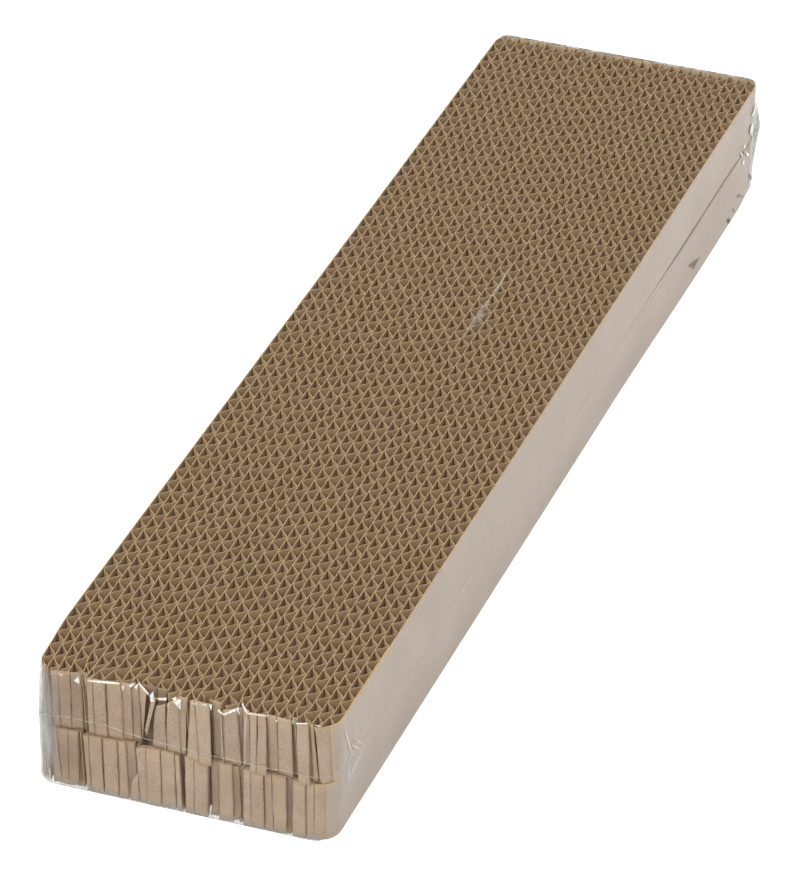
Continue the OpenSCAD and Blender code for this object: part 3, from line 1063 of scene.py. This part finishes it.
# %% [markdown]
# ## The weld, the creases and the painted highlights
# Along the weld the two webs are melted into a thin round bead. It is a tube that follows the
# outline at the height of the weld. The creases are slivers of white film, partly stretched
# film and partly painted highlights. Most stand in front of the near end, along its top edge,
# where the film was pulled round the corner. Others lie on the right side, towards both of its
# ends, and a faint streak lies on the top, a painted highlight. The lower web has a few grey
# marks on its right side, painted shade of dents and nicks.

# %% Weld bead
BEAD_RADIUS = 0.08 * MM
BEAD_SIDES = 6

path = []
for place, way_out, close, corner in outline:
    out = min(EARS[corner], 0.5 * MM) * 0.5 if close == 1 else 0.12 * MM
    x, y = place + way_out * out
    path.append(Vector((x + drawn_in(x, y) * 0.8, y, weld_height(place.x, place.y))))

mesh, veil = new_mesh("veil")
rings = []
for before, point, after in zip(path[-1:] + path, path, path[1:] + path[:1]):
    along = (after - before).normalized()
    side = along.cross(Vector((0, 0, 1))).normalized()
    up = side.cross(along)
    rings.append([])
    for step in range(BEAD_SIDES):
        angle = step * math.tau / BEAD_SIDES
        way = side * math.cos(angle) + up * math.sin(angle)
        rings[-1].append(mesh.verts.new(point + way * BEAD_RADIUS))
        rings[-1][-1][veil] = 0.25 if point.y < NEAR_FACE + 2 * MM else 0.02
for first, second in zip(rings, rings[1:] + rings[:1]):
    add_band(mesh, first, second)
bmesh.ops.recalc_face_normals(mesh, faces=mesh.faces)
bead = mesh_object(mesh, "weld_bead", white_film_and_glints)
given_to(bead, "upper_film", "film_upper_web")
print("weld bead has", len(bead.data.polygons), "faces")

# %% Creases and smudges
# Slivers on the near end, white creases and painted highlights: a veil, then corners as millimetres
# from the left side and height.
SLIVERS = [
    (0.9, 5.4, 44.2, 5.9, 44.6, 5.2, 43.4), (0.9, 6.5, 41, 8.8, 42, 7.2, 41.4),
    (0.95, 9.6, 42.5, 11.8, 42.1, 11.2, 41.6), (1, 15.3, 40.9, 17, 42.8, 17.1, 40.1),
    (0.95, 18.8, 42.2, 19.6, 45.3, 19.3, 39.8),
    (0.8, 19.8, 42.2, 25, 42.9, 25.1, 42.3, 19.8, 41.6),
    (0.8, 25, 42.9, 30.6, 43.6, 30.5, 43, 25.1, 42.3), (1, 31.2, 42.5, 32.2, 43.1, 31.7, 40.6),
    (0.9, 33.6, 43.3, 36, 45, 34.2, 42.6), (0.95, 35.6, 43.2, 36.8, 44.9, 36.2, 42.2),
    (0.8, 37, 45.4, 40.6, 42, 40.2, 41.3, 36.8, 44.6),
    (1, 40.6, 41.5, 41.9, 43.2, 42.1, 39.6, 41, 39.2),
    (1, 42.9, 41.1, 46.4, 42, 46.1, 40.9, 43.5, 40.4), (0.9, 47.9, 42, 49.4, 43, 49.6, 41.6),
    (1, 48.3, 41.2, 51.1, 42.6, 50.9, 38.6), (0.9, 49.4, 43, 51, 42.3, 51.3, 41.4),
    (0.9, 53.9, 41.6, 56.4, 42.4, 56.2, 41.8), (0.8, 57.6, 42.4, 59.7, 42.6, 59.6, 42.1),
    (0.9, 60.4, 42.8, 61.4, 43, 61.1, 40.6),
    (0.95, 63.4, 41.9, 65.2, 40.6, 65.2, 39.9, 63.2, 41.1),
    (1, 65.2, 40.6, 69.2, 43.3, 69.1, 42.4, 65.2, 39.9), (0.9, 69.3, 43.3, 70.6, 41.3, 70.1, 43.9),
    (1, 71.3, 46, 73.4, 42.7, 72.9, 42.4, 71.2, 44.9),
    (0.6, 73.4, 42.8, 80, 43.3, 80, 43, 73.4, 42.4), (0.8, 82.3, 42.4, 83.1, 42.5, 82.6, 41.6),
    (0.8, 87.8, 42.7, 88.4, 44.6, 88.3, 42.2), (1, 89.2, 42.9, 92.9, 43.7, 92.8, 43.2, 89.2, 42.5),
    (0.8, 94.2, 43.5, 97.4, 43.7, 97.3, 43.3), (0.16, 72.3, 42, 72.9, 42, 72.2, 22, 71.9, 22),
    (0.16, 47.1, 41, 47.4, 40.6, 45.9, 22.4, 45.6, 22.4),
    (0.2, 64.4, 40, 64.7, 39.5, 65, 22, 64.7, 22),
]
# Streaks on the top, painted highlights, as millimetres across and along.
STREAKS = [
    (0.12, 9.7, 71.3, 9.4, 66.4, 8.9, 59.1, 9.2, 56.2, 9.5, 49.6, 9.3, 45.3, 9.6, 40.6, 10.4,
     41.6, 10.8, 47, 10.5, 51.1, 9.7, 57.2, 9.3, 62.7, 9.6, 67.4),
    (0.09, 9.9, 39.2, 9.1, 37.4, 8.9, 32.5, 9, 26.9, 8.9, 22.8, 9.3, 18.6, 9.5, 15.7, 9.9, 10.8,
     10.5, 15, 10.6, 19.4, 11.9, 24.7, 11.6, 28.7, 10.8, 33.9, 10.8, 38.1),
    (0.09, 9.1, 37.8, 8.9, 32.5, 8.9, 26.9, 8.8, 22.8, 9.3, 17.8, 9.4, 19.7, 9.2, 24.4, 9.4,
     28.2, 9.5, 33.4),
]
# Glints on the right side, painted highlights, as millimetres along and height.
GLINTS = [
    (0.7, 225.9, 35.4, 227.2, 33.9, 223.3, 31.5, 221.6, 32.7),
    (0.7, 222, 29, 223.7, 27.9, 224.3, 22.7, 222, 23.9, 219.3, 27.1),
    (0.9, 213, 24.9, 214.2, 23.5, 213.1, 22.8, 211.6, 24.4),
    (1, 209.1, 23.5, 210.6, 21.4, 209.7, 21.6, 206.9, 24),
    (1, 214.6, 20.5, 217, 19.5, 220.5, 16.6, 218.2, 17.1),
    (0.7, 227.4, 27.4, 229.4, 25.7, 228.6, 25.5, 227.1, 26.8),
    (0.8, 212.1, 18.8, 213.5, 17.1, 211.2, 17, 210.4, 18.6),
    (0.5, -222.2, 37.8, -215.1, 23.9, -215.3, 23.5, -222.5, 37.4),
    (0.5, -217.6, 17.6, -205.7, 19.9, -205.7, 19.5, -217.6, 17.1),
    (0.5, -215.3, 28, -208.9, 22.4, -209.2, 22.2, -215.5, 27.6),
    (0.4, -212.6, 29, -203, 19, -203.3, 18.8, -212.8, 28.7),
]
# Grey marks on the right side, painted shade of dents and nicks, in the same way.
SHADE_MARKS = [
    (0.3, 224.5, 24.3, 226, 23.3, 225, 21.8, 223.9, 22.7),
    (0.3, 218.8, 21.8, 219.8, 21, 217.5, 19.9, 216.8, 20.6),
    (0.4, 211.8, 22.1, 212.6, 21.1, 210.6, 21.1, 210.3, 21.8),
    (0.24, 158, 6, 141.8, 10.9, 149.9, 5.1), (0.5, 222.7, 7.5, 227.2, 3.4, 225.3, 3.3, 222.2, 6.6),
    (0.25, 204.7, 7.7, 208.8, 6.1, 210.1, 4.6, 206.2, 5.7),
    (0.28, 211.3, 4.3, 213.6, 3.1, 213.9, 1.8, 212, 3.1),
    (0.4, 198.5, 5.5, 199.9, 4.6, 203.2, 1.5, 200.8, 2.7),
    (0.5, 192, 4.1, 194.6, 3.2, 197, 1.4, 195.2, 0.4, 193.4, 1.6),
]

# Above EDGE a sliver lies back on the top. There a step back looks like 0.67 of it upwards and
# 0.38 of it to the right.
EDGE, TOP = 42.45 * MM, 42.6 * MM
UP_PER_BACK, RIGHT_PER_BACK = 0.67, 0.38
FLAKE_OUT = {"near": 0.24 * MM, "side": 0.35 * MM}


def on_near_end(x, z, _):
    back = max(0, z - EDGE) / UP_PER_BACK
    return Vector((x - HALF - RIGHT_PER_BACK * back, NEAR_FACE - FLAKE_OUT["near"] + back,
                   min(z, TOP)))


def on_top(x, y, share):
    return Vector((x, y, film_high.z - (0.04 + 0.2 * share) * MM))


def on_side(y, z, _):
    x = FILM_HALF.x + FLAKE_OUT["side"] + bulged(HALF, y, z)
    return Vector((min(x, film_high.x - 0.01 * MM), y, z))


def add_flakes(name, material, tables, body, node):
    """A piece of flat closed flakes. A table has rows, a rule that places them, and a thickness."""
    mesh, veil = new_mesh("veil")
    for rows, rule, thickness in tables:
        for share, *places in rows:
            corners = [rule(a * MM, b * MM, share) for a, b in zip(places[::2], places[1::2])]
            front, back = [[mesh.verts.new(corner + Vector(way) * MM) for corner in corners]
                           for way in ((0, 0, 0), thickness)]
            for vertex in front + back:
                vertex[veil] = share
            mesh.faces.new(front)
            mesh.faces.new(back[::-1])
            add_band(mesh, front, back)
    bmesh.ops.recalc_face_normals(mesh, faces=mesh.faces)
    piece = mesh_object(mesh, name, material)
    given_to(piece, body, node)
    print(name, "has", sum(len(rows) for rows, _, _ in tables), "flakes")


add_flakes("film_creases_and_glints", white_film_and_glints,
           [(SLIVERS, on_near_end, (0, 0.03, -0.03)), (STREAKS, on_top, (0, 0, -0.01)),
            (GLINTS, on_side, (-0.02, 0, 0))], "upper_film", "film_upper_web")
add_flakes("film_shade_marks", shade_marked_film,
           [(SHADE_MARKS, on_side, (-0.02, 0, 0))], "lower_film", "film_lower_web")

# %% [markdown]
# ## Floor, lamps and backdrop
# The pack lies on a white sweep. The floor gives the camera a plain white and keeps a trace of
# the object's shadow. Large soft lamps light the pack from above, from the right and from the
# front, and all of them face its middle.

# %% Stage
def camera_sees(tree):
    path = tree.nodes.new("ShaderNodeLightPath")
    seen = Field(path.outputs["Is Camera Ray"])
    for name in ("Is Glossy Ray", "Is Transmission Ray"):
        seen = seen.math("MAXIMUM", Field(path.outputs[name]))
    return seen


floor_mesh = bpy.data.meshes.new("floor")
floor_mesh.from_pydata([(-6, -6, 0), (6, -6, 0), (6, 6, 0), (-6, 6, 0)], [], [(0, 1, 2, 3)])
floor = add_object("floor", floor_mesh)
floor.location.z = -0.1 * MM
material, tree, shader = new_material(
    "white_sweep", Base_Color=(0.85, 0.85, 0.85, 1), Roughness=0.9, Specular_IOR_Level=0,
    Emission_Color=(1, 1, 1, 1))
fill(shader, Emission_Strength=camera_sees(tree) * 0.7)
floor_mesh.materials.append(material)

world = bpy.data.worlds.new("world")
bpy.context.scene.world = world
world.use_nodes = True
fill(world.node_tree.nodes["Background"], Color=(1, 1, 1, 1),
     Strength=camera_sees(world.node_tree) * 0.62 + 0.38)

for name, place, size, power in (("top_softbox", (-0.8, -0.35, 1.6), (1.2, 1.4), 22.6),
                                 ("right_softbox", (1.6, 1.25, 0.42), (1.4, 0.6), 20.2),
                                 ("front_softbox", (0.3, -1.7, 1.25), (1.4, 0.8), 15.2)):
    data = bpy.data.lights.new(name, "AREA")
    data.shape = "RECTANGLE"
    data.size, data.size_y = size
    data.energy = power
    lamp = add_object(name, data)
    lamp.location = place
    lamp.rotation_euler = (-Vector(place)).to_track_quat("-Z", "Y").to_euler()
bpy.context.scene.view_settings.view_transform = "Standard"
